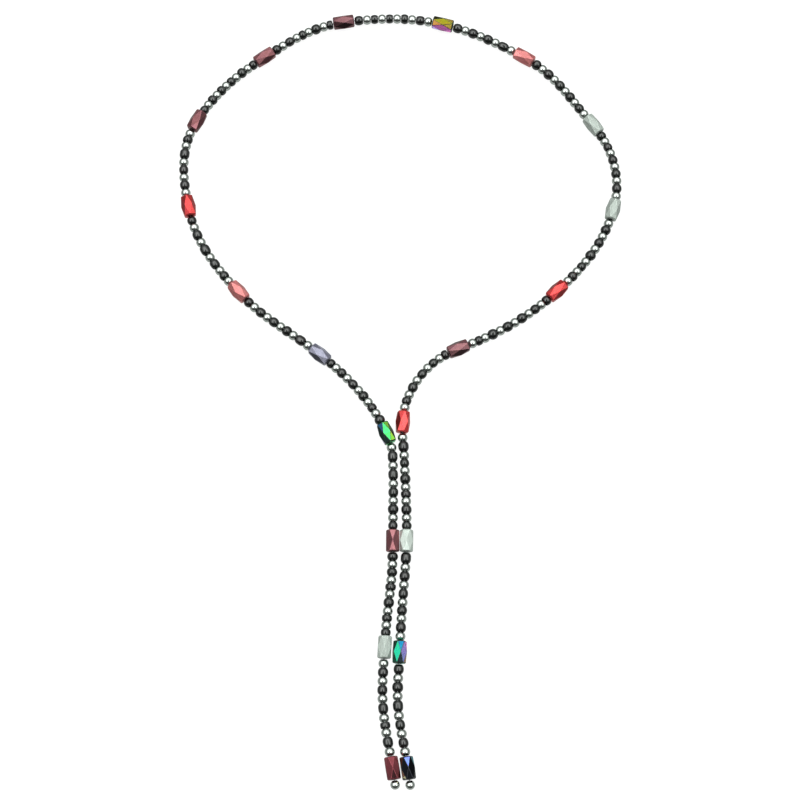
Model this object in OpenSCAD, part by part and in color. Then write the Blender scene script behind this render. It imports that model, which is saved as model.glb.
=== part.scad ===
// Open ended wrap necklace of faceted magnetic stones, silver balls and black glass seed beads.
// It lies flat on a surface: one loop, and two tails held side by side by the pull of their stones.
// The origin is under the middle of the strand's footprint, +Z is up and the tails point to -Y.

/* [Faceted stones] */
// Length of a faceted stone
stone_len = 9; // [8:0.25:9.5]
// Width of a faceted stone across its corners
stone_w = 6.2; // [5.8:0.1:6.3]
// Bevel around both ends of a faceted stone
stone_bevel = 0.4; // [0.2:0.05:0.6]

/* [Silver balls] */
// Diameter of a silver ball
ball_d = 4.0; // [3.6:0.1:4.2]
// Length of a silver ball along the thread, between its cut ends
ball_len = 3.1; // [2.8:0.1:3.3]
// Diameter of the ball that closes each tail
end_ball_d = 3.7; // [3.4:0.1:4]
// Wall that is left at the closed side of an end ball
end_wall = 0.9; // [0.6:0.1:1.2]

/* [Glass beads] */
// Length of the thin seed beads
thin_len = 2.4; // [2:0.1:2.8]
// Length of the usual seed beads
usual_len = 3.1; // [2.8:0.1:3.5]
// Length of the wide seed beads
wide_len = 3.7; // [3.4:0.1:4]
// Length of the long seed beads
long_len = 4.3; // [4:0.1:4.8]
// Mean diameter of the seed beads
glass_d = 4.15; // [4.1:0.05:4.3]
// Most that a seed bead's diameter differs from the mean
glass_spread = 0.3; // [0:0.05:0.3]
// Length of a seed bead's round part; a longer bead has a straight tube between its two round ends
glass_round = 3.2; // [3:0.1:3.3]
// Row of chance numbers that picks the seed beads' diameters
glass_pick = 7; // [1:1:40]

/* [Stringing] */
// Diameter of the holes through all the beads
hole_d = 1.8; // [1.75:0.05:1.9]
// Diameter of the beading wire
thread_d = 0.5; // [0.3:0.05:0.5]
// Height of the beading wire over the surface
thread_z = 2.6; // [2.55:0.01:2.62]
// Least height of a small bead's axis over the surface
small_z = 2.1; // [2.1:0.05:2.2]
// Free wire between two neighbouring small beads
bead_gap = 0.23; // [0.2:0.01:0.25]
// Free wire between a faceted stone and the bead next to it
stone_gap = 0.4; // [0.35:0.05:0.5]

/* [Smoothness] */
// Straight pieces in each curve of the route
steps = 20; // [12:4:32]
// Sides of the beading wire
thread_sides = 5; // [5:1:6]

/* [Hidden] */
// Route of the strand from the left tail, round the loop and down the right tail.
// Columns: x, y, heading in degrees, turn of the stone about the wire, its finish,
// and the small beads strung after it: s silver ball, t thin, b usual, w wide, l long seed bead.
// A row without a finish is a bend of the strand, with no stone on it.
X = 0;
Y = 1;
HEADING = 2;
TURN = 3;
FINISH = 4;
CHART = 5;
ROUTE = [
    [ -3.0, -149.5,   99, -27, "wine",     "slstslswsws"],
    [ -7.0, -122.0,   92,   0, "",         ""],
    [ -6.2, -102.0,   87,  30, "pearl",    "tstswstsbsb"],
    [ -4.0,  -79.0,   83,   0, "",         ""],
    [ -3.0,  -59.0,   90,  30, "mauve",    "bswswslsls"],
    [ -2.8,  -37.0,   90,   0, "",         ""],
    [ -2.9,  -29.0,   91,   0, "",         ""],
    [ -5.4,  -14.0,  116,   3, "rainbow",  "bstsbswsbst"],
    [-33.2,   19.5,  141,   1, "lavender", "slsbswswsb"],
    [-67.5,   46.7,  132,   0, "coral",    "stswslswsb"],
    [-89.5,   84.5,  102,   5, "red",      "swswslsts"],
    [-87.0,  123.5,   60,   0, "mauve",    "tstststsbst"],
    [-58.5,  153.0,   35,   0, "mauve",    "bswstswst"],
    [-24.5,  169.5,    8,   0, "umber",    "wsbsbsbsws"],
    [ 18.5,  168.5,  -14,   0, "rainbow",  "wswswsls"],
    [ 53.5,  153.0,  -30,   0, "coral",    "bswswsbsbs"],
    [ 82.5,  121.5,  -52,   0, "pearl",    "tstsbsbsws"],
    [ 90.0,   83.0, -107,   0, "pearl",    "sbsbswststs"],
    [ 65.5,   47.0, -137,   0, "red",      "tsbswswswsts"],
    [ 24.0,   22.0, -159,   0, "umber",    "tsbswswsts"],
    [  0.8,   -9.5,  -94, -14, "red",      "slsbswstswsb"],
    [  1.7,  -24.0,  -88,   0, "",         ""],
    [  2.6,  -59.0,  -91,  28, "pearl",    "lswswsbsws"],
    [  1.0,  -83.5,  -94,   0, "",         ""],
    [ -0.2, -104.0,  -92,  20, "rainbow",  "wswslswsws"],
    [ -1.0, -123.0,  -88,   0, "",         ""],
    [  3.0, -149.5,  -82,  24, "night",    ""],
];
// Reach of a curve's handles over the distance between its two ends
handle = 0.36;
// Length of straight wire drawn past the first and last stone
lead = 20;

// Colours of the finishes
function finish_color(name) =
    name == "wine" ? "#7a2028" :
    name == "pearl" ? "#b9c9c0" :
    name == "mauve" ? "#a56570" :
    name == "lavender" ? "#8d889c" :
    name == "coral" ? "#ee6a66" :
    name == "red" ? "#e8303a" :
    name == "umber" ? "#7a4a4c" :
    name == "rainbow" ? "#4fc09a" : "#202030";

// Curve between two rows of the route
function direction(a) = [cos(a), sin(a)];
function spot(row) = [row[X], row[Y]];
function bezier(a, b, c, d, t) =
    pow(1 - t, 3) * a + 3 * pow(1 - t, 2) * t * b + 3 * (1 - t) * t * t * c + pow(t, 3) * d;
function curve_point(from, to, t) =
    let (reach = handle * norm(spot(to) - spot(from)))
    bezier(spot(from), spot(from) + reach * direction(from[HEADING]),
           spot(to) - reach * direction(to[HEADING]), spot(to), t);

// The whole route as a line of short straight pieces, with a straight lead at both tails
last_row = len(ROUTE) - 1;
first_point = spot(ROUTE[0]) - lead * direction(ROUTE[0][HEADING]);
last_point = spot(ROUTE[last_row]) + lead * direction(ROUTE[last_row][HEADING]);
line = concat(
    [first_point],
    [for (k = [0:last_row - 1]) for (i = [0:steps - 1]) curve_point(ROUTE[k], ROUTE[k + 1], i / steps)],
    [spot(ROUTE[last_row]), last_point]);

// Distance along the line to each of its points, and the line's place at any distance
along = [for (i = 0, s = 0; i < len(line);
              i = i + 1, s = s + (i < len(line) ? norm(line[i] - line[i - 1]) : 0)) s];
table_x = [for (i = [0:len(line) - 1]) [along[i], line[i][X]]];
table_y = [for (i = [0:len(line) - 1]) [along[i], line[i][Y]]];
function at(s) = [lookup(s, table_x), lookup(s, table_y)];
function heading_from_to(a, b) = atan2(b[Y] - a[Y], b[X] - a[X]);

// Rows of the route that carry a stone, and the distance along the line to the stone's near end
stone_rows = [for (k = [0:last_row]) if (ROUTE[k][FINISH] != "") k];
stone_count = len(stone_rows);
function stone_start(i) = along[1 + steps * stone_rows[i]] - stone_len / 2;

// Lengths of the small beads of run i; its seed beads are picked longer or shorter so that they fill it
function sum(v, i = 0) = i < len(v) ? v[i] + sum(v, i + 1) : 0;
function glass_len(letter) =
    letter == "t" ? thin_len :
    letter == "b" ? usual_len :
    letter == "w" ? wide_len : long_len;
function run_room(i) =
    stone_start(i + 1) - stone_start(i) - stone_len
    - 2 * stone_gap - bead_gap * (len(ROUTE[stone_rows[i]][CHART]) - 1);
function run_fit(i) =
    let (chart = ROUTE[stone_rows[i]][CHART])
    let (balls = sum([for (c = chart) c == "s" ? ball_len : 0]))
    let (glass = sum([for (c = chart) c == "s" ? 0 : glass_len(c)]))
    (run_room(i) - balls) / glass;
function run_lengths(i) =
    let (fit = run_fit(i))
    [for (c = ROUTE[stone_rows[i]][CHART]) c == "s" ? ball_len : glass_len(c) * fit];
function run_beads(i) =
    let (chart = ROUTE[stone_rows[i]][CHART])
    let (lengths = run_lengths(i))
    [for (j = 0, s = stone_start(i) + stone_len + stone_gap; j < len(chart);
          s = s + lengths[j] + bead_gap, j = j + 1) [chart[j], s, lengths[j], i]];

// Everything on the wire in order: its letter, where it starts along the line, its length, and for a
// small bead the number of its run. The letter m is a faceted stone and e an end ball.
LETTER = 0;
START = 1;
LENGTH = 2;
RUN = 3;
end_ball_len = end_ball_d / 2 + sqrt(pow(end_ball_d / 2, 2) - pow(hole_d / 2, 2));
stones = [for (i = [0:stone_count - 1]) ["m", stone_start(i), stone_len]];
first_end = ["e", stone_start(0) - stone_gap - end_ball_len, end_ball_len];
last_end = ["e", stone_start(stone_count - 1) + stone_len + stone_gap, end_ball_len];
small = [for (i = [0:stone_count - 2]) each run_beads(i)];
strung = concat(
    [first_end],
    [for (i = [0:stone_count - 1]) each concat([stones[i]], i < stone_count - 1 ? run_beads(i) : [])],
    [last_end]);

// Sections of the strand that hold the small beads: name, first run and last run
SECTIONS = [
    ["left_tail",  0,  2],
    ["left_loop",  3,  9],
    ["right_loop", 10, 15],
    ["right_tail", 16, 18],
];
function in_section(bead, section) = bead[RUN] >= section[1] && bead[RUN] <= section[2];

// Sizes that follow from the stone's width
stone_r = stone_w / 2;
stone_flat_r = stone_r * cos(30);
stone_end_r = stone_flat_r * cos(30);
function stone_z(turn) = stone_r * cos(30 - abs(turn));

// Middle of the footprint, between the beads' outermost sides
loop = [for (i = [1:len(line) - 2]) line[i]];
tail_y = [at(first_end[START])[Y], at(last_end[START] + end_ball_len)[Y]];
middle_x = (min([for (p = loop) p[X]]) + max([for (p = loop) p[X]])) / 2;
middle_y = (min(tail_y) + max([for (p = loop) p[Y]]) + glass_d / 2) / 2;

// Chance numbers from -1 to 1 for the seed beads
picks = rands(-1, 1, len(small), glass_pick);

$fn = 48;

// Puts a piece drawn along +X on the line, from s over the given length, with its axis at height z
module on_line(s, length, z) {
    from = at(s);
    to = at(s + length);
    middle = (from + to) / 2;
    translate([middle[X], middle[Y], z])
        rotate([0, 0, heading_from_to(from, to)])
            children();
}

// Hole along X
module hole(length) {
    rotate([0, 90, 0])
        cylinder(h = length, d = hole_d, center = true);
}

// One pair of opposite pointed sides of a stone, cut right through it
module stone_side_pair() {
    half = stone_len / 2;
    bevel_r = stone_r - (stone_r - stone_end_r) * (half - stone_bevel) / half;
    corner = [[stone_r, 0], [bevel_r, half - stone_bevel], [bevel_r - stone_bevel, half]];
    outline = concat(
        corner,
        [for (i = [2:-1:0]) [-corner[i][X], corner[i][Y]]],
        [for (i = [1:2]) [-corner[i][X], -corner[i][Y]]],
        [for (i = [2:-1:1]) [corner[i][X], -corner[i][Y]]]);
    rotate([90, 0, 0])
        linear_extrude(height = stone_w + 2, center = true)
            polygon(outline);
}

// Faceted stone along X: six long lens facets with twelve triangles between them, and beveled ends
module stone(turn) {
    rotate([turn, 0, 0])
        difference() {
            rotate([0, 90, 0])
                rotate([0, 0, 90])
                    intersection() {
                        cylinder(h = stone_len + 1, r = stone_r, center = true, $fn = 6);
                        stone_side_pair();
                        rotate([0, 0, 60]) stone_side_pair();
                        rotate([0, 0, 120]) stone_side_pair();
                    }
            hole(stone_len + 2);
        }
}

// Silver ball along X, with flat cut ends
module ball() {
    rotate([0, 90, 0])
        rotate_extrude()
            difference() {
                intersection() {
                    circle(d = ball_d);
                    translate([0, -ball_len / 2]) square([ball_d, ball_len]);
                }
                translate([0, -ball_d]) square([hole_d / 2, 2 * ball_d]);
            }
}

// Seed bead along X: two round ends, with a straight side between them on the longer beads
module glass_bead(length, diameter) {
    straight = max(0, length - glass_round);
    rotate([0, 90, 0])
        rotate_extrude()
            difference() {
                intersection() {
                    union() {
                        for (end = straight > 0 ? [-1, 1] : [0])
                            translate([0, end * straight / 2]) circle(d = diameter);
                        if (straight > 0)
                            translate([0, -straight / 2]) square([diameter / 2, straight]);
                    }
                    translate([0, -length / 2]) square([diameter, length]);
                }
                translate([0, -length]) square([hole_d / 2, 2 * length]);
            }
}

// Ball that closes a tail, drilled from +X only; its closed side points to -X
module end_ball() {
    translate([end_ball_d / 2 - end_ball_len / 2, 0, 0])
        difference() {
            sphere(d = end_ball_d);
            translate([end_wall - end_ball_d / 2, 0, 0])
                rotate([0, 90, 0])
                    cylinder(h = end_ball_d, d = hole_d);
        }
}

module facet_bead(i) {
    row = ROUTE[stone_rows[i]];
    color(finish_color(row[FINISH]))
        on_line(stones[i][START], stone_len, stone_z(row[TURN]))
            stone(row[TURN]);
}

module end_ball_left() {
    color("#c9cccc")
        on_line(first_end[START], end_ball_len, small_z)
            end_ball();
}

module end_ball_right() {
    color("#c9cccc")
        on_line(last_end[START], end_ball_len, small_z)
            mirror([1, 0, 0]) end_ball();
}

module silver_balls(section) {
    color("#c9cccc")
        for (bead = small)
            if (bead[LETTER] == "s" && in_section(bead, section))
                on_line(bead[START], ball_len, max(small_z, ball_d / 2))
                    ball();
}

module glass_beads(section) {
    color("#17191a")
        for (i = [0:len(small) - 1])
            if (small[i][LETTER] != "s" && in_section(small[i], section)) {
                diameter = glass_d + glass_spread * picks[i];
                on_line(small[i][START], small[i][LENGTH], max(small_z, diameter / 2))
                    glass_bead(small[i][LENGTH], diameter);
            }
}

// Beading wire: straight through each bead, bending only between beads, its ends inside the end balls
module thread() {
    stations = concat(
        [first_end[START] + end_wall + 0.3],
        [for (i = [1:len(strung) - 1])
            (strung[i - 1][START] + strung[i - 1][LENGTH] + strung[i][START]) / 2],
        [last_end[START] + end_ball_len - end_wall - 0.3]);
    count = len(stations);
    points = [for (s = stations)
        let (turn = heading_from_to(at(s - 1), at(s + 1)))
        for (j = [0:thread_sides - 1])
            let (a = 360 * j / thread_sides)
            let (out = thread_d / 2 * cos(a))
            let (p = at(s) + out * direction(turn + 90))
            [p[X], p[Y], thread_z + thread_d / 2 * sin(a)]];
    sides = [for (i = [0:count - 2]) for (j = [0:thread_sides - 1])
        let (k = (j + 1) % thread_sides)
        [i * thread_sides + j, i * thread_sides + k,
         (i + 1) * thread_sides + k, (i + 1) * thread_sides + j]];
    first_cap = [for (j = [0:thread_sides - 1]) thread_sides - 1 - j];
    last_cap = [for (j = [0:thread_sides - 1]) (count - 1) * thread_sides + j];
    color("#8a8d90")
        polyhedron(points, concat([first_cap], sides, [last_cap]));
}

// Moves the middle of the strand's footprint over the origin
module placed() {
    translate([-middle_x, -middle_y, 0]) children();
}

for (i = [0:stone_count - 1])
    placed() facet_bead(i);
placed() end_ball_left();
placed() end_ball_right();
for (section = SECTIONS) {
    placed() silver_balls(section);
    placed() glass_beads(section);
}
placed() thread();
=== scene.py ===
"""Dresses the wrap necklace: beading wire, faceted stones, silver balls and black glass seed beads."""
import math
import random

import bpy
from mathutils import Matrix, Vector, noise


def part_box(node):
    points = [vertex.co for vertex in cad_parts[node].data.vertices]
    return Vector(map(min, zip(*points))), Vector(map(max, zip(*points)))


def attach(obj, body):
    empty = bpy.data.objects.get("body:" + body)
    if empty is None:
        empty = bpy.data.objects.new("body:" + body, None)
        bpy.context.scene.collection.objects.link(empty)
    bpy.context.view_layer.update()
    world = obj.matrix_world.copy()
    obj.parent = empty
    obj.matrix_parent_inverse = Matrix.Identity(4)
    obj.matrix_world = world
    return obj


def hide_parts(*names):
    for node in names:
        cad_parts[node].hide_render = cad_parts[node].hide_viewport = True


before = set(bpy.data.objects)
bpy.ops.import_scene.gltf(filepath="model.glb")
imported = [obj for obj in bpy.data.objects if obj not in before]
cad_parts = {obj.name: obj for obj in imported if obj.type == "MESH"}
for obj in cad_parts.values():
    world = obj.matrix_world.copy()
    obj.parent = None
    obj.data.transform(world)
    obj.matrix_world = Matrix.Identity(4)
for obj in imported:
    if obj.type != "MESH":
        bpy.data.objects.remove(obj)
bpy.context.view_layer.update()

# Beading wire
# Fine twisted steel cable with a clear nylon jacket, threaded through every bead. It runs from the
# ball on the left tail, round the neck loop, to the ball on the right tail, where a crimp holds it.
MM = 0.001
WIRE_RADIUS = 0.25 * MM
WIRE_CREASE = math.radians(40)
HOLE_RADIUS = 0.9 * MM
# Corners this close are one, corners this near the hole's radius are on the hole, and directions whose
# cosine is below this are square to each other
WELD = 0.001 * MM
NEAR_HOLE = 0.01 * MM
SQUARE = 0.001
STONES = ["facet_bead_%02d" % number for number in range(1, 21)]
SECTIONS = ["left_tail", "left_loop", "right_loop", "right_tail"]
BALLS = ["silver_balls_" + section for section in SECTIONS]
GLASS = ["glass_beads_" + section for section in SECTIONS]


def pick_only(piece):
    """Selects one object and makes it the active one."""
    bpy.ops.object.select_all(action="DESELECT")
    piece.select_set(True)
    bpy.context.view_layer.objects.active = piece


def drilled_solids(node):
    """Splits a merged copy of a node into its separate beads, for measuring."""
    copy = bpy.data.objects.new("measured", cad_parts[node].data.copy())
    bpy.context.scene.collection.objects.link(copy)
    pick_only(copy)
    bpy.ops.object.mode_set(mode="EDIT")
    bpy.ops.mesh.select_all(action="SELECT")
    bpy.ops.mesh.remove_doubles(threshold=WELD)
    bpy.ops.mesh.separate(type="LOOSE")
    bpy.ops.object.mode_set(mode="OBJECT")
    return list(bpy.context.selected_objects)


def reach(points, direction):
    """Lowest and highest place of some points along a direction."""
    along = [p.dot(direction) for p in points]
    return min(along), max(along)


def middle_of(points):
    """Middle of the upright box round some points."""
    ends = [reach(points, axis) for axis in Matrix.Identity(3)]
    return Vector([(lowest + highest) / 2 for lowest, highest in ends])


def measure(solid, node):
    """Reads where a bead is, which way its hole runs, its length, its width and which way is up on it."""
    points = [v.co for v in solid.data.vertices]
    centre = middle_of(points)
    level = [face.normal for face in solid.data.polygons if abs(face.normal.z) < SQUARE]
    sides = {(round(n.x, 2), round(n.y, 2)): n.copy() for n in level}

    def on_hole(axis):
        """Counts the corners that lie at the hole's radius from an axis through the centre."""
        away = [(p - centre).cross(axis).length for p in points]
        return sum(abs(distance - HOLE_RADIUS) < NEAR_HOLE for distance in away)

    hole = max(sides.values(), key=on_hole)
    across = Vector((-hole.y, hole.x, 0))
    up = Vector((0, 0, 1))
    if node in STONES:
        # A stone is turned on the wire, so the lens that faces up most says which way is up on it
        lenses = [face for face in solid.data.polygons if abs(face.normal.dot(hole)) < SQUARE]
        lenses = [face for face in lenses if (face.center - centre).dot(face.normal) > HOLE_RADIUS]
        up = max(lenses, key=lambda face: (round(face.normal.z, 2), face.normal.dot(across))).normal.copy()
    lengthwise = reach(points, hole)
    sideways = reach(points, across)
    return {
        "node": node,
        "centre": centre,
        "hole": hole,
        "up": up,
        "length": lengthwise[1] - lengthwise[0],
        "width": sideways[1] - sideways[0],
    }


def bead_end(bead, side):
    """Where the wire leaves a bead: side is 1 where its hole's direction points, and -1 behind."""
    return bead["centre"] + bead["hole"] * bead["length"] / 2 * side


waiting = []
for node in STONES + BALLS + GLASS:
    solids = drilled_solids(node)
    waiting += [measure(solid, node) for solid in solids]
    for solid in solids:
        bpy.data.meshes.remove(solid.data)

# From the left tail's ball, the next bead on the wire is always the one whose end is nearest
wire_start, wire_end, wire_middle = [
    sum(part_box(node), Vector()) / 2 for node in ("end_ball_left", "end_ball_right", "thread")
]
here = wire_start
beads = []
bends = [wire_start]
while waiting:
    ends = [
        ((bead_end(bead, side) - here).xy.length, index, side)
        for index, bead in enumerate(waiting)
        for side in (-1, 1)
    ]
    index, side = min(ends)[1:]
    bead = waiting.pop(index)
    bead["hole"] = bead["hole"] * -side
    bends.append((here + bead_end(bead, -1)) / 2)
    here = bead_end(bead, 1)
    beads.append(bead)
bends.append((here + wire_end) / 2)
bends.append(wire_end)

route = bpy.data.curves.new("beading_wire", "CURVE")
route.dimensions = "3D"
route.bevel_depth = WIRE_RADIUS
route.bevel_resolution = 2
route.use_fill_caps = True
spline = route.splines.new("POLY")
spline.points.add(len(bends) - 1)
for point, bend in zip(spline.points, bends):
    point.co = (bend.x, bend.y, wire_middle.z, 1)
wire = bpy.data.objects.new("beading_wire", route)
bpy.context.scene.collection.objects.link(wire)
pick_only(wire)
bpy.ops.object.convert(target="MESH")
wire = bpy.context.object
bpy.ops.object.shade_smooth_by_angle(angle=WIRE_CREASE)


def srgb(hex_code):
    """Turns an sRGB hex value into Blender's linear colour."""
    parts = [int(hex_code[i : i + 2], 16) / 255 for i in (1, 3, 5)]
    return tuple(p / 12.92 if p <= 0.04045 else ((p + 0.055) / 1.055) ** 2.4 for p in parts) + (1,)


def add_node(material, kind, settings=None, values=None, links=None):
    """Adds a shader node, with its settings, its socket values and the sockets that feed it."""
    node = material.node_tree.nodes.new(kind)
    for name, value in (settings or {}).items():
        setattr(node, name, value)
    for name, value in (values or {}).items():
        node.inputs[name].default_value = value
    for name, source in (links or {}).items():
        material.node_tree.links.new(source, node.inputs[name])
    return node


def new_material(name):
    """Makes an empty node material."""
    material = bpy.data.materials.new(name)
    material.use_nodes = True
    material.node_tree.nodes.clear()
    return material


# Nylon coated steel cable: grey, softly shiny, with the twist of its strands, 0.24 mm apart, just showing
nylon_steel = new_material("nylon_coated_steel_cable")
place = add_node(nylon_steel, "ShaderNodeTexCoord")
twist = add_node(
    nylon_steel,
    "ShaderNodeTexNoise",
    values={"Scale": 1 / (0.24 * MM), "Detail": 2.0},
    links={"Vector": place.outputs["Object"]},
)
grey = add_node(
    nylon_steel,
    "ShaderNodeMix",
    {"data_type": "RGBA"},
    values={"A": srgb("#77797c"), "B": srgb("#a2a5a8")},
    links={"Factor": twist.outputs["Fac"]},
)
strands = add_node(
    nylon_steel,
    "ShaderNodeBump",
    values={"Strength": 0.3, "Distance": 0.03 * MM},
    links={"Height": twist.outputs["Fac"]},
)
jacket = add_node(
    nylon_steel,
    "ShaderNodeBsdfPrincipled",
    values={"Metallic": 0.8, "Roughness": 0.32},
    links={"Base Color": grey.outputs["Result"], "Normal": strands.outputs["Normal"]},
)
add_node(nylon_steel, "ShaderNodeOutputMaterial", links={"Surface": jacket.outputs["BSDF"]})
wire.data.materials.append(nylon_steel)
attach(wire, "root")
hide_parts("thread")

# Faceted stones
# Pressed magnetic ferrite, ground into a six sided tube bead: six long lens facets, twelve triangles
# between them and a beveled end. A thin metal coat gives each stone its colour, and each facet is painted
# lighter or darker on top of it, as painted light and shade. The wire holds it.
STONE_LENGTH = 9.0 * MM
STONE_CORNER = 3.1 * MM
# The corners are ground down so far at the ends that the lenses between them run out to points
STONE_END_CORNER = STONE_CORNER * math.cos(math.radians(30)) ** 2
STONE_BEVEL = 0.4 * MM
WORN_EDGE = 0.1 * MM
WORN_ANGLE = math.radians(20)


def add_along_x(add_shape, **sizes):
    """Adds a cylinder or a ball whose axis lies along X, as every bead's hole does while it is made."""
    bpy.ops.object.select_all(action="DESELECT")
    add_shape(rotation=(0, math.radians(90), 0), **sizes)
    return bpy.context.object


def use_modifier(piece, kind, **settings):
    """Adds a modifier to a piece and applies it."""
    pick_only(piece)
    modifier = piece.modifiers.new(kind, kind)
    for name, value in settings.items():
        setattr(modifier, name, value)
    bpy.ops.object.modifier_apply(modifier=modifier.name)


def drill_hole(piece, vertices, depth, middle=0):
    """Drills a piece along X, with a drill of a given length whose middle is at a given X."""
    drill = add_along_x(
        bpy.ops.mesh.primitive_cylinder_add,
        vertices=vertices,
        radius=HOLE_RADIUS,
        depth=depth,
        location=(middle, 0, 0),
    )
    use_modifier(piece, "BOOLEAN", operation="DIFFERENCE", object=drill, solver="EXACT")
    bpy.data.meshes.remove(drill.data)


stone_master = add_along_x(
    bpy.ops.mesh.primitive_cylinder_add, vertices=6, radius=STONE_CORNER, depth=STONE_LENGTH
)
bpy.ops.object.transform_apply(location=False, rotation=True, scale=False)
# Every corner is ground to a slope on both sides of its middle, and beveled where it meets an end
bpy.ops.object.mode_set(mode="EDIT")
half = STONE_LENGTH / 2
fall = STONE_CORNER - STONE_END_CORNER
bevel_start = STONE_CORNER - fall * (half - STONE_BEVEL) / half
for corner in range(6):
    angle = math.radians(60 * corner)
    outward = Vector((0, math.cos(angle), math.sin(angle)))
    for end in (-1, 1):
        ahead = Vector((end, 0, 0))
        cuts = [
            (outward * STONE_CORNER, (ahead * fall + outward * half).normalized()),
            (ahead * half + outward * (bevel_start - STONE_BEVEL), (ahead + outward).normalized()),
        ]
        for point, facing in cuts:
            bpy.ops.mesh.select_all(action="SELECT")
            bpy.ops.mesh.bisect(plane_co=point, plane_no=facing, use_fill=True, clear_outer=True)
bpy.ops.mesh.select_all(action="SELECT")
bpy.ops.mesh.remove_doubles(threshold=WELD)
bpy.ops.object.mode_set(mode="OBJECT")
drill_hole(stone_master, vertices=20, depth=2 * STONE_LENGTH)
use_modifier(
    stone_master,
    "BEVEL",
    width=WORN_EDGE,
    segments=2,
    limit_method="ANGLE",
    angle_limit=WORN_ANGLE,
)

# Facet numbers: 0 to 5 are the lenses from the top towards the left, 6 to 17 are the triangles at the
# six corners, ahead and behind, 18 is the narrow worn edges and 19 is the ends and the hole. They are told
# apart by how far out a face lies, how large it is and how far it leans towards an end.
OUTSIDE = 1.5 * MM
LENS_AREA = 3 * MM * MM
LENS_LEAN = 0.05
TRIANGLE_AREA = 1 * MM * MM
TRIANGLE_LEAN = 0.4
END_LEAN = 0.9
HOLE_SIDE = HOLE_RADIUS + 0.05 * MM


def facet_number(face):
    """Tells which facet a face of the stone belongs to."""
    angle = math.degrees(math.atan2(face.normal.y, face.normal.z)) % 360
    lean = abs(face.normal.x)
    out = face.center.yz.length
    if out > OUTSIDE and face.area > LENS_AREA and lean < LENS_LEAN:
        return round(angle / 60) % 6
    if out > OUTSIDE and face.area > TRIANGLE_AREA and lean < TRIANGLE_LEAN:
        return 6 + 2 * (round((angle - 30) / 60) % 6) + (0 if face.normal.x > 0 else 1)
    if lean > END_LEAN or out < HOLE_SIDE:
        return 19
    return 18


facets = [facet_number(face) for face in stone_master.data.polygons]

# Lacquers and vapour coats: their colour, and how much lighter a facet is painted for one step of painted
# light or shade
COAT_COLOURS_AND_LIGHT_STEPS = {
    "wine": ("#6e343b", 1.35),
    "pearl": ("#a5aca7", 1.12),
    "mauve": ("#724a4e", 1.3),
    "lavender": ("#7c7b89", 1.3),
    "coral": ("#b37070", 1.2),
    "red": ("#a43535", 1.3),
    "umber": ("#664549", 1.35),
}
# The step that is the coat's own colour, the steps by which the narrow worn edges are painted lighter as a
# painted highlight, and the white of painted glare that each lighter step adds
OWN_STEP = 5
EDGE_HIGHLIGHT_STEPS = 1
PAINTED_GLARE_PER_STEP = 0.012
# Interference films change colour with their thickness: a letter for each hue, and x for the worn edges. The
# lighter and darker letters are also painted reflection and painted shade, by how each facet faces the light
FILMS = {
    "rainbow": {
        "g": "#4fbf76", "y": "#b8f464", "o": "#9ce45e", "b": "#34597f", "k": "#1e322f", "s": "#597a60",
        "e": "#265345", "v": "#8c83ac", "a": "#777119", "f": "#bb8850", "q": "#e6cc66", "n": "#a4806c",
        "m": "#ee90da", "t": "#27a083", "c": "#1a7090", "u": "#d6b4ff", "w": "#46451c", "x": "#46544c",
        "i": "#a4b4ff", "j": "#1d262e", "h": "#2f6a5c",
    },
    "night": {"k": "#12141a", "b": "#6072b4", "o": "#6c5c46", "y": "#f4ecc6", "t": "#437e8a", "x": "#3e3e45"},
}
# Columns: coat; the ahead and behind ends of the top, left and right lens; the triangles beside the top
# lens, left ahead, left behind, right ahead and right behind; and the four triangles beyond, likewise.
# Ahead and left are those of the wire's run. Tones go from 1, the darkest, to 9, and are painted light and
# shade: each facet is painted lighter or darker for how it catches the light.
STONE_PAINTED_LIGHT = [
    ("wine", "54", "44", "64", "6551", "4484"),
    ("pearl", "66", "66", "66", "4588", "4666"),
    ("mauve", "55", "44", "66", "7997", "4466"),
    ("rainbow", "gg", "kk", "ss", "bkoy", "vvee"),
    ("lavender", "66", "11", "75", "6755", "5355"),
    ("coral", "66", "44", "45", "3466", "5555"),
    ("red", "66", "33", "35", "3668", "6666"),
    ("mauve", "55", "44", "44", "7538", "5553"),
    ("mauve", "65", "66", "34", "9768", "6677"),
    ("umber", "65", "55", "11", "7864", "5555"),
    ("rainbow", "aa", "ww", "mm", "qwqf", "wwmu"),
    ("coral", "55", "55", "47", "5468", "5555"),
    ("pearl", "44", "44", "45", "6664", "4444"),
    ("pearl", "44", "44", "44", "6644", "4444"),
    ("red", "77", "33", "23", "8765", "5636"),
    ("umber", "77", "11", "44", "8887", "5577"),
    ("red", "77", "66", "33", "7776", "6633"),
    ("pearl", "88", "77", "77", "8677", "6666"),
    ("rainbow", "tt", "iu", "ee", "jche", "nmee"),
    ("night", "kk", "kk", "kk", "kbyo", "ktko"),
]


def painted_facet_tone(coat, mark):
    """Colour of a facet, with painted light and shade: a film's by its letter, a coat's by its step of tone.
    Worn edges are painted light.
    """
    if coat in FILMS:
        return Vector(srgb(FILMS[coat][mark]))
    colour, ratio = COAT_COLOURS_AND_LIGHT_STEPS[coat]
    steps = EDGE_HIGHLIGHT_STEPS if mark == "x" else int(mark) - OWN_STEP
    # Each lighter step also gets a painted white glare
    haze = PAINTED_GLARE_PER_STEP * max(0, steps)
    return Vector([level * ratio**steps + haze for level in srgb(colour)[:3]] + [1])


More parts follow.
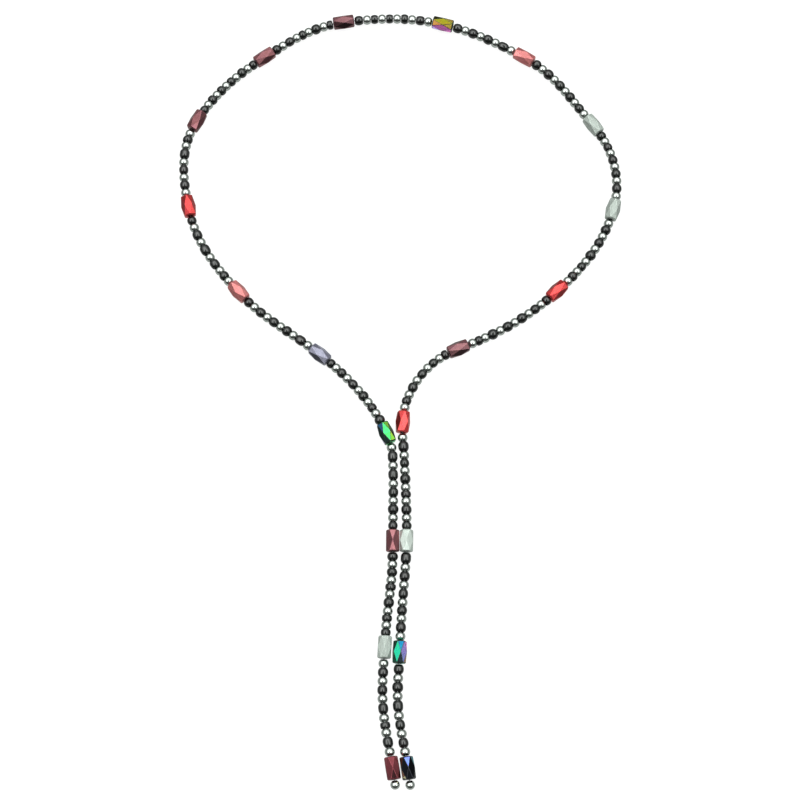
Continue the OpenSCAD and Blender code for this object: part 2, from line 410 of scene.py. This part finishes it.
def coat_material(name, metallic, rough_low, rough_high, grain, drift):
    """Thin coat over ground ferrite: facet tones of painted light and shade, clouding, polish lines along the
    stone and pits.
    """
    material = new_material(name)
    place = add_node(material, "ShaderNodeAttribute", {"attribute_name": "stone_place"})
    # Each facet's coat colour with its painted light and shade
    tone = add_node(material, "ShaderNodeAttribute", {"attribute_name": "facet_painted_light"})
    # Clouds of about 1.5 mm, where the film is a little thicker or thinner
    clouds = add_node(
        material,
        "ShaderNodeTexNoise",
        values={"Scale": 1 / (1.5 * MM), "Detail": 3.0, "Roughness": 0.6},
        links={"Vector": place.outputs["Vector"]},
    )
    # Lines of the grinding belt, about 0.3 mm wide and eight times as long
    stretched = add_node(
        material,
        "ShaderNodeVectorMath",
        {"operation": "MULTIPLY"},
        values={1: (0.12, 1.0, 1.0)},
        links={0: place.outputs["Vector"]},
    )
    lines = add_node(
        material,
        "ShaderNodeTexNoise",
        values={"Scale": 1 / (0.3 * MM), "Detail": 2.0, "Roughness": 0.55},
        links={"Vector": stretched.outputs["Vector"]},
    )
    shade = add_node(
        material,
        "ShaderNodeMapRange",
        values={"From Min": 0.3, "From Max": 0.7, "To Min": 0.86, "To Max": 1.1},
        links={"Value": lines.outputs["Fac"]},
    )
    film = add_node(
        material,
        "ShaderNodeMapRange",
        values={"From Min": 0.3, "From Max": 0.7, "To Min": 0.5 - drift, "To Max": 0.5 + drift},
        links={"Value": clouds.outputs["Fac"]},
    )
    hue = add_node(
        material,
        "ShaderNodeHueSaturation",
        links={
            "Color": tone.outputs["Color"],
            "Hue": film.outputs["Result"],
            "Value": shade.outputs["Result"],
        },
    )
    # Pits of the pressed ferrite, about 0.15 mm across
    pits = add_node(
        material,
        "ShaderNodeTexNoise",
        values={"Scale": 1 / (0.15 * MM), "Detail": 2.0, "Roughness": 0.7},
        links={"Vector": place.outputs["Vector"]},
    )
    polish = add_node(
        material,
        "ShaderNodeMapRange",
        values={"From Min": 0.35, "From Max": 0.65, "To Min": rough_low, "To Max": rough_high},
        links={"Value": clouds.outputs["Fac"]},
    )
    relief = add_node(
        material,
        "ShaderNodeBump",
        values={"Strength": grain, "Distance": 0.01 * MM},
        links={"Height": pits.outputs["Fac"]},
    )
    surface = add_node(
        material,
        "ShaderNodeBsdfPrincipled",
        values={"Metallic": metallic},
        links={
            "Base Color": hue.outputs["Color"],
            "Roughness": polish.outputs["Result"],
            "Normal": relief.outputs["Normal"],
        },
    )
    add_node(material, "ShaderNodeOutputMaterial", links={"Surface": surface.outputs["BSDF"]})
    return material


# Each coat's share of metal, its lowest and highest roughness, how deep its pits show and how far its hue
# drifts. Lacquers are satin and of one hue, vapour coats shine more, and interference films the most.
COATS = {
    "wine": coat_material("wine_red_metal_lacquer_on_ferrite", 0.65, 0.28, 0.38, 0.2, 0.004),
    "pearl": coat_material("satin_pearl_lacquer_on_ferrite", 0.45, 0.38, 0.5, 0.28, 0.0),
    "mauve": coat_material("mauve_vapour_metal_coat_on_ferrite", 0.7, 0.26, 0.38, 0.2, 0.012),
    "lavender": coat_material("lavender_vapour_metal_coat_on_ferrite", 0.6, 0.3, 0.4, 0.2, 0.008),
    "coral": coat_material("coral_metal_lacquer_on_ferrite", 0.5, 0.28, 0.4, 0.2, 0.006),
    "red": coat_material("bright_red_metal_lacquer_on_ferrite", 0.6, 0.22, 0.34, 0.2, 0.004),
    "umber": coat_material("umber_vapour_metal_coat_on_ferrite", 0.75, 0.24, 0.34, 0.2, 0.012),
    "rainbow": coat_material("rainbow_interference_coat_on_ferrite", 0.85, 0.24, 0.34, 0.15, 0.03),
    "night": coat_material("dark_interference_coat_on_ferrite", 0.9, 0.1, 0.18, 0.1, 0.02),
}
PATTERN_STEP = 50 * MM


def bead_copy(master, bead, size=(1, 1, 1)):
    """Copies a bead that is modelled along X to its place on the wire, with a mesh of its own."""
    mesh = master.data.copy()
    ahead = bead["hole"]
    left = bead["up"].cross(ahead).normalized()
    up = ahead.cross(left)
    turn = Matrix((ahead, left, up)).transposed().to_4x4()
    mesh.transform(Matrix.Translation(bead["centre"]) @ turn @ Matrix.Diagonal((*size, 1)))
    copy = bpy.data.objects.new(bead["node"] + "_copy", mesh)
    bpy.context.scene.collection.objects.link(copy)
    return copy


stone_beads = [bead for bead in beads if bead["node"] in STONES]
for number, (bead, row) in enumerate(zip(stone_beads, STONE_PAINTED_LIGHT)):
    coat, top, left, right, (left_ahead, left_behind, right_ahead, right_behind), beyond = row
    stone = bead_copy(stone_master, bead)
    stone.name = coat + "_stone_" + bead["node"][-2:]
    # Lenses from the top to the left and round, then the pairs of triangles in the same order
    by_facet = [top, left, right, top, left, right]
    by_facet += [left_ahead, left_behind, beyond[0], beyond[1], right_behind, right_ahead]
    by_facet += [left_behind, left_ahead, beyond[2], beyond[3], right_ahead, right_behind]
    by_facet += ["x", top]
    # Each face is painted with its facet's light or shade, blended from the behind end to the ahead end
    painted_tones = stone.data.attributes.new("facet_painted_light", "FLOAT_COLOR", "CORNER")
    for face, facet in zip(stone.data.polygons, facets):
        ahead = painted_facet_tone(coat, by_facet[facet][0])
        behind = painted_facet_tone(coat, by_facet[facet][-1])
        for loop in face.loop_indices:
            corner = stone_master.data.vertices[stone.data.loops[loop].vertex_index].co
            painted_tones.data[loop].color = behind.lerp(ahead, corner.x / STONE_LENGTH + 0.5)
    # Every stone has its own stretch of the coat's pattern
    places = stone.data.attributes.new("stone_place", "FLOAT_VECTOR", "POINT")
    for place, v in zip(places.data, stone_master.data.vertices):
        place.vector = v.co + Vector((0, 0, PATTERN_STEP * number))
    stone.data.materials.append(COATS[coat])
    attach(stone, "root")
    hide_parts(bead["node"])
bpy.data.meshes.remove(stone_master.data)

# Silver balls
# Hollow brass balls with a bright silver plating, 4 mm across, rolled from tube so that both ends are
# flat where the hole comes out. They part the glass beads from each other and slide on the wire.
BALL_RADIUS = 2.0 * MM
BALL_LENGTH = 3.1 * MM
BEAD_CREASE = math.radians(35)
# A face whose normal points along X by this much is an end
END_FACING = 0.999


def cut_ends(piece, length):
    """Cuts both ends of a round bead flat and drills it, by joining the two inset ends."""
    pick_only(piece)
    bpy.ops.object.mode_set(mode="EDIT")
    for end in (-1, 1):
        bpy.ops.mesh.select_all(action="SELECT")
        bpy.ops.mesh.bisect(
            plane_co=(end * length / 2, 0, 0), plane_no=(end, 0, 0), use_fill=True, clear_outer=True
        )
    bpy.ops.mesh.select_all(action="DESELECT")
    bpy.ops.object.mode_set(mode="OBJECT")
    ends = [face for face in piece.data.polygons if abs(face.normal.x) > END_FACING]
    rim = max(piece.data.vertices[v].co.yz.length for face in ends for v in face.vertices)
    for face in ends:
        face.select = True
    bpy.ops.object.mode_set(mode="EDIT")
    bpy.ops.mesh.inset(thickness=rim - HOLE_RADIUS, use_boundary=True)
    bpy.ops.mesh.bridge_edge_loops()
    bpy.ops.mesh.select_all(action="SELECT")
    bpy.ops.mesh.normals_make_consistent(inside=False)
    bpy.ops.object.mode_set(mode="OBJECT")
    bpy.ops.object.shade_smooth_by_angle(angle=BEAD_CREASE)


ball_master = add_along_x(
    bpy.ops.mesh.primitive_uv_sphere_add, segments=24, ring_count=16, radius=BALL_RADIUS
)
bpy.ops.object.transform_apply(location=False, rotation=True, scale=False)
cut_ends(ball_master, BALL_LENGTH)

# Bright silver plating: a mirror that is a little greyer at its rim than fresh silver, with the faint haze
# of handling in patches of about 1.1 mm
silver = new_material("bright_silver_plated_brass")
place = add_node(silver, "ShaderNodeTexCoord")
haze = add_node(
    silver,
    "ShaderNodeTexNoise",
    values={"Scale": 1 / (1.1 * MM), "Detail": 4.0, "Roughness": 0.6},
    links={"Vector": place.outputs["Object"]},
)
tarnish = add_node(
    silver,
    "ShaderNodeMix",
    {"data_type": "RGBA"},
    values={"A": srgb("#cbcfcc"), "B": srgb("#aeb2af")},
    links={"Factor": haze.outputs["Fac"]},
)
polish = add_node(
    silver,
    "ShaderNodeMapRange",
    values={"From Min": 0.35, "From Max": 0.7, "To Min": 0.03, "To Max": 0.12},
    links={"Value": haze.outputs["Fac"]},
)
mirror = add_node(
    silver,
    "ShaderNodeBsdfPrincipled",
    values={"Metallic": 1.0, "Specular Tint": srgb("#b4bab6")},
    links={"Base Color": tarnish.outputs["Result"], "Roughness": polish.outputs["Result"]},
)
add_node(silver, "ShaderNodeOutputMaterial", links={"Surface": mirror.outputs["BSDF"]})


def join_section(copies, node, name, material):
    """Joins the beads of one section of the strand into one piece that replaces their node."""
    bpy.ops.object.select_all(action="DESELECT")
    for copy in copies:
        copy.select_set(True)
    bpy.context.view_layer.objects.active = copies[0]
    bpy.ops.object.join()
    piece = bpy.context.object
    piece.name = name
    piece.data.materials.append(material)
    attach(piece, "root")
    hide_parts(node)


for node in BALLS:
    copies = [bead_copy(ball_master, bead) for bead in beads if bead["node"] == node]
    join_section(copies, node, "polished_" + node, silver)
bpy.data.meshes.remove(ball_master.data)

# End balls
# A smaller ball of the same plated brass closes each tail. Its hole is blind: the wire's end is
# crimped and glued inside it.
END_RADIUS = 1.85 * MM
END_WALL = 0.9 * MM

end_master = add_along_x(
    bpy.ops.mesh.primitive_uv_sphere_add, segments=32, ring_count=20, radius=END_RADIUS
)
bpy.ops.object.transform_apply(location=False, rotation=True, scale=False)
drill_hole(end_master, vertices=24, depth=2 * END_RADIUS, middle=END_WALL)
bpy.ops.object.shade_smooth_by_angle(angle=BEAD_CREASE)
for node, wire_tip, next_end in (
    ("end_ball_left", wire_start, bead_end(beads[0], -1)),
    ("end_ball_right", wire_end, bead_end(beads[-1], 1)),
):
    facing = next_end - wire_tip
    facing.z = 0
    facing.normalize()
    pose = {"node": node, "hole": facing, "up": Vector((0, 0, 1)), "centre": wire_tip}
    end_ball = bead_copy(end_master, pose)
    end_ball.name = "polished_" + node
    # The drilled ball is shorter on its open side, so it moves until its middle is the node's
    offset = wire_tip - middle_of([v.co for v in end_ball.data.vertices])
    end_ball.data.transform(Matrix.Translation(offset))
    end_ball.data.materials.append(silver)
    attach(end_ball, "root")
    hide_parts(node)
bpy.data.meshes.remove(end_master.data)

# Glass seed beads
# Opaque black pressed glass, cut from a drawn tube and tumbled hot until the ends are round. They are
# not all alike: their lengths, widths and faint tints differ from bead to bead.
GLASS_WIDTH = 4.15 * MM
# Both round ends together are this long, and what a bead is longer is straight tube
GLASS_ROUND = 3.2 * MM
GLASS_LENGTHS = [2.25 * MM, 2.9 * MM, 3.5 * MM, 4.1 * MM]
GLASS_RINGS = 10
GLASS_RIM = 0.16 * MM
GLASS_RIM_ANGLE = math.radians(38)
GLASS_CREASE = math.radians(50)

glass_masters = []
for length in GLASS_LENGTHS:
    master = add_along_x(
        bpy.ops.mesh.primitive_cylinder_add, vertices=24, radius=GLASS_WIDTH / 2, depth=length
    )
    bpy.ops.object.transform_apply(location=False, rotation=True, scale=False)
    # The side is cut into rings, which are drawn in to round ends with a straight tube between them
    bpy.ops.object.mode_set(mode="EDIT")
    for ring in range(1, GLASS_RINGS):
        bpy.ops.mesh.select_all(action="SELECT")
        bpy.ops.mesh.bisect(plane_co=(length * (ring / GLASS_RINGS - 0.5), 0, 0), plane_no=(1, 0, 0))
    bpy.ops.mesh.select_all(action="DESELECT")
    bpy.ops.object.mode_set(mode="OBJECT")
    straight = max(0, length - GLASS_ROUND)
    for v in master.data.vertices:
        past = max(0, abs(v.co.x) - straight / 2)
        v.co.yz = v.co.yz.normalized() * math.sqrt((GLASS_WIDTH / 2) ** 2 - past**2)
    cut_ends(master, length)
    use_modifier(
        master,
        "BEVEL",
        width=GLASS_RIM,
        segments=2,
        limit_method="ANGLE",
        angle_limit=GLASS_RIM_ANGLE,
    )
    bpy.ops.object.shade_smooth_by_angle(angle=GLASS_CREASE)
    glass_masters.append(master)

# Tumbled black glass: a breath of green, brown or grey in the black, the strong gloss of a heavy glass, and
# ripples that are about 2 mm across, which bend the reflections
black_glass = new_material("tumbled_black_glass")
place = add_node(black_glass, "ShaderNodeTexCoord")
tint = add_node(black_glass, "ShaderNodeAttribute", {"attribute_name": "glass_tint"})
ripples = add_node(
    black_glass,
    "ShaderNodeTexNoise",
    values={"Scale": 1 / (2.1 * MM), "Detail": 1.0},
    links={"Vector": place.outputs["Object"]},
)
relief = add_node(
    black_glass,
    "ShaderNodeBump",
    values={"Strength": 0.25, "Distance": 0.12 * MM},
    links={"Height": ripples.outputs["Fac"]},
)
gloss = add_node(
    black_glass,
    "ShaderNodeMapRange",
    values={"From Min": 0.3, "From Max": 0.7, "To Min": 0.03, "To Max": 0.1},
    links={"Value": ripples.outputs["Fac"]},
)
glass = add_node(
    black_glass,
    "ShaderNodeBsdfPrincipled",
    values={"IOR": 1.78},
    links={
        "Base Color": tint.outputs["Color"],
        "Roughness": gloss.outputs["Result"],
        "Normal": relief.outputs["Normal"],
    },
)
add_node(black_glass, "ShaderNodeOutputMaterial", links={"Surface": glass.outputs["BSDF"]})

GLASS_TINTS = ["#070b09", "#050c07", "#0c0809", "#060908", "#0a0c0b"]
# The wear of the outside: a dent every 2.4 mm, its depth as a share of the wall, the part of it that is the
# same all over, how near the hole it stops, and the length of the pattern that it is taken from
DENTS_PER_METRE = 420
WEAR_SHARE = 0.09
WEAR_EVEN = 0.1
WEAR_MARGIN = 0.05 * MM
PATTERN_LENGTH = 50
chance = random.Random(11)


def tumble(copy, bead, offset):
    """Makes a glass bead's outside uneven, by up to 0.06 mm, and leaves its hole and its seat as they are."""
    for v in copy.data.vertices:
        from_centre = v.co - bead["centre"]
        out = from_centre - from_centre.dot(bead["hole"]) * bead["hole"]
        wall = out.length - HOLE_RADIUS
        if wall > WEAR_MARGIN:
            dent = noise.noise(from_centre * DENTS_PER_METRE + Vector((offset, 0, 0)))
            wear = WEAR_SHARE * (WEAR_EVEN + dent)
            v.co -= out.normalized() * wall * wear
            v.co.z = max(v.co.z, 0.0)


def glass_copy(bead):
    """Makes a glass bead from the master that is nearest in length, with a tint and a wear of its own."""
    master = min(glass_masters, key=lambda m: abs(m.dimensions.x - bead["length"]))
    widen = bead["width"] / GLASS_WIDTH
    stretch = bead["length"] / master.dimensions.x
    copy = bead_copy(master, bead, (stretch, widen, widen))
    colour = srgb(chance.choice(GLASS_TINTS))
    tints = copy.data.attributes.new("glass_tint", "FLOAT_COLOR", "CORNER")
    for corner in tints.data:
        corner.color = colour
    tumble(copy, bead, chance.uniform(0, PATTERN_LENGTH))
    return copy


for node in GLASS:
    copies = [glass_copy(bead) for bead in beads if bead["node"] == node]
    join_section(copies, node, "black_" + node, black_glass)
for master in glass_masters:
    bpy.data.meshes.remove(master.data)

# Floor, light and camera
# The necklace lies on a white acrylic light table, in a tent of lit white cloth that is open towards
# the tails. The room there is dark, and the camera on its stand shows dark against the cloth.
TABLE_SIZE = 20.0
BACKDROP_RADIUS = 9.9
BACKDROP_HEIGHT = 8.0

bpy.ops.object.select_all(action="DESELECT")
bpy.ops.mesh.primitive_plane_add(size=TABLE_SIZE)
table = bpy.context.object
table.name = "white_table"
# Lit white acrylic: nearly all its brightness is its own, so the beads cast only faint shadows on it
white = new_material("white_acrylic_light_table")
base = add_node(
    white,
    "ShaderNodeBsdfPrincipled",
    values={
        "Base Color": srgb("#505151"),
        "Roughness": 0.6,
        "Emission Color": (1, 1, 1, 1),
        "Emission Strength": 0.93,
    },
)
add_node(white, "ShaderNodeOutputMaterial", links={"Surface": base.outputs["BSDF"]})
table.data.materials.append(white)
table.visible_glossy = False

# The same white stands far off all round. Only the camera sees it, so the light comes from the tent alone
bpy.ops.object.select_all(action="DESELECT")
bpy.ops.mesh.primitive_cylinder_add(
    vertices=64, radius=BACKDROP_RADIUS, depth=BACKDROP_HEIGHT, end_fill_type="NOTHING"
)
backdrop = bpy.context.object
backdrop.name = "white_backdrop"
backdrop.visible_diffuse = False
backdrop.visible_glossy = False
backdrop.visible_shadow = False
backdrop.data.materials.append(white)

tent = bpy.data.worlds.new("light_tent")
tent.use_nodes = True
tent.node_tree.nodes.clear()
bpy.context.scene.world = tent
sky = add_node(tent, "ShaderNodeTexCoord")
direction = add_node(tent, "ShaderNodeSeparateXYZ", links={"Vector": sky.outputs["Generated"]})
# The white cloth begins well above the horizon and ends on the tails' side, where the tent is open
cloth = add_node(
    tent,
    "ShaderNodeMapRange",
    values={"From Min": 0.16, "From Max": 0.34},
    links={"Value": direction.outputs["Z"]},
)
opening = add_node(
    tent,
    "ShaderNodeMapRange",
    values={"From Min": -0.5, "From Max": -0.38},
    links={"Value": direction.outputs["Y"]},
)
# The dark stand is narrow at the top and widens downwards
sideways = add_node(
    tent, "ShaderNodeMath", {"operation": "ABSOLUTE"}, links={0: direction.outputs["X"]}
)
stand = add_node(
    tent,
    "ShaderNodeMath",
    {"operation": "MULTIPLY_ADD"},
    values={1: 0.3},
    links={0: direction.outputs["Y"], 2: sideways.outputs["Value"]},
)
beside = add_node(
    tent,
    "ShaderNodeMapRange",
    values={"From Min": 0.16, "From Max": 0.24},
    links={"Value": stand.outputs["Value"]},
)
beyond = add_node(
    tent,
    "ShaderNodeMapRange",
    values={"From Min": 0.28, "From Max": 0.38},
    links={"Value": direction.outputs["Y"]},
)
clear = add_node(
    tent,
    "ShaderNodeMath",
    {"operation": "MAXIMUM"},
    links={0: beside.outputs["Result"], 1: beyond.outputs["Result"]},
)
lit = add_node(
    tent,
    "ShaderNodeMath",
    {"operation": "MULTIPLY"},
    links={0: cloth.outputs["Result"], 1: opening.outputs["Result"]},
)
seen = add_node(
    tent,
    "ShaderNodeMath",
    {"operation": "MULTIPLY"},
    links={0: lit.outputs["Value"], 1: clear.outputs["Value"]},
)
# The room's light and the cloth's, both with a faint green cast
tone = add_node(
    tent,
    "ShaderNodeMix",
    {"data_type": "RGBA"},
    values={"A": (0.5, 0.52, 0.505, 1), "B": (3.4, 3.5, 3.43, 1)},
    links={"Factor": seen.outputs["Value"]},
)
# Near the horizon the room is darker still
dusk = add_node(
    tent,
    "ShaderNodeMapRange",
    values={"From Min": 0.0, "From Max": 0.3, "To Min": 0.25},
    links={"Value": direction.outputs["Z"]},
)
# The lamps above the cloth make its crown the brightest
crown = add_node(
    tent,
    "ShaderNodeMapRange",
    values={"From Min": 0.6, "From Max": 0.95, "To Min": 0.32, "To Max": 1.2},
    links={"Value": direction.outputs["Z"]},
)
above = add_node(
    tent,
    "ShaderNodeMath",
    {"operation": "MULTIPLY"},
    links={0: dusk.outputs["Result"], 1: crown.outputs["Result"]},
)
# Mirrored in a bead, the table is a little less bright than the picture shows it
ground = add_node(
    tent,
    "ShaderNodeMapRange",
    values={"From Min": -0.15, "From Max": -0.03, "To Min": 1.45, "To Max": 0.0},
    links={"Value": direction.outputs["Z"]},
)
strength = add_node(
    tent,
    "ShaderNodeMath",
    {"operation": "ADD"},
    links={0: above.outputs["Value"], 1: ground.outputs["Result"]},
)
light = add_node(
    tent,
    "ShaderNodeBackground",
    links={"Color": tone.outputs["Result"], "Strength": strength.outputs["Value"]},
)
add_node(tent, "ShaderNodeOutputWorld", links={"Surface": light.outputs["Background"]})

# A long lens looks down steeply over the tails, at a point a little below the middle of the necklace
CAMERA_TILT = math.radians(75)
CAMERA_DISTANCE = 0.823
CAMERA_AIM = Vector((0, -7.76 * MM, 2.4 * MM))

optics = bpy.data.cameras.new("camera")
optics.lens = 90
optics.sensor_width = 36
optics.clip_start = 0.01
camera = bpy.data.objects.new("camera", optics)
bpy.context.scene.collection.objects.link(camera)
away = Vector((0, -math.cos(CAMERA_TILT), math.sin(CAMERA_TILT)))
camera.location = CAMERA_AIM + CAMERA_DISTANCE * away
camera.rotation_euler = (math.radians(90) - CAMERA_TILT, 0, 0)
bpy.context.scene.camera = camera
# Middle tones are developed a little deep, as in pictures of goods on white
bpy.context.scene.view_settings.view_transform = "Standard"
bpy.context.scene.view_settings.gamma = 0.84
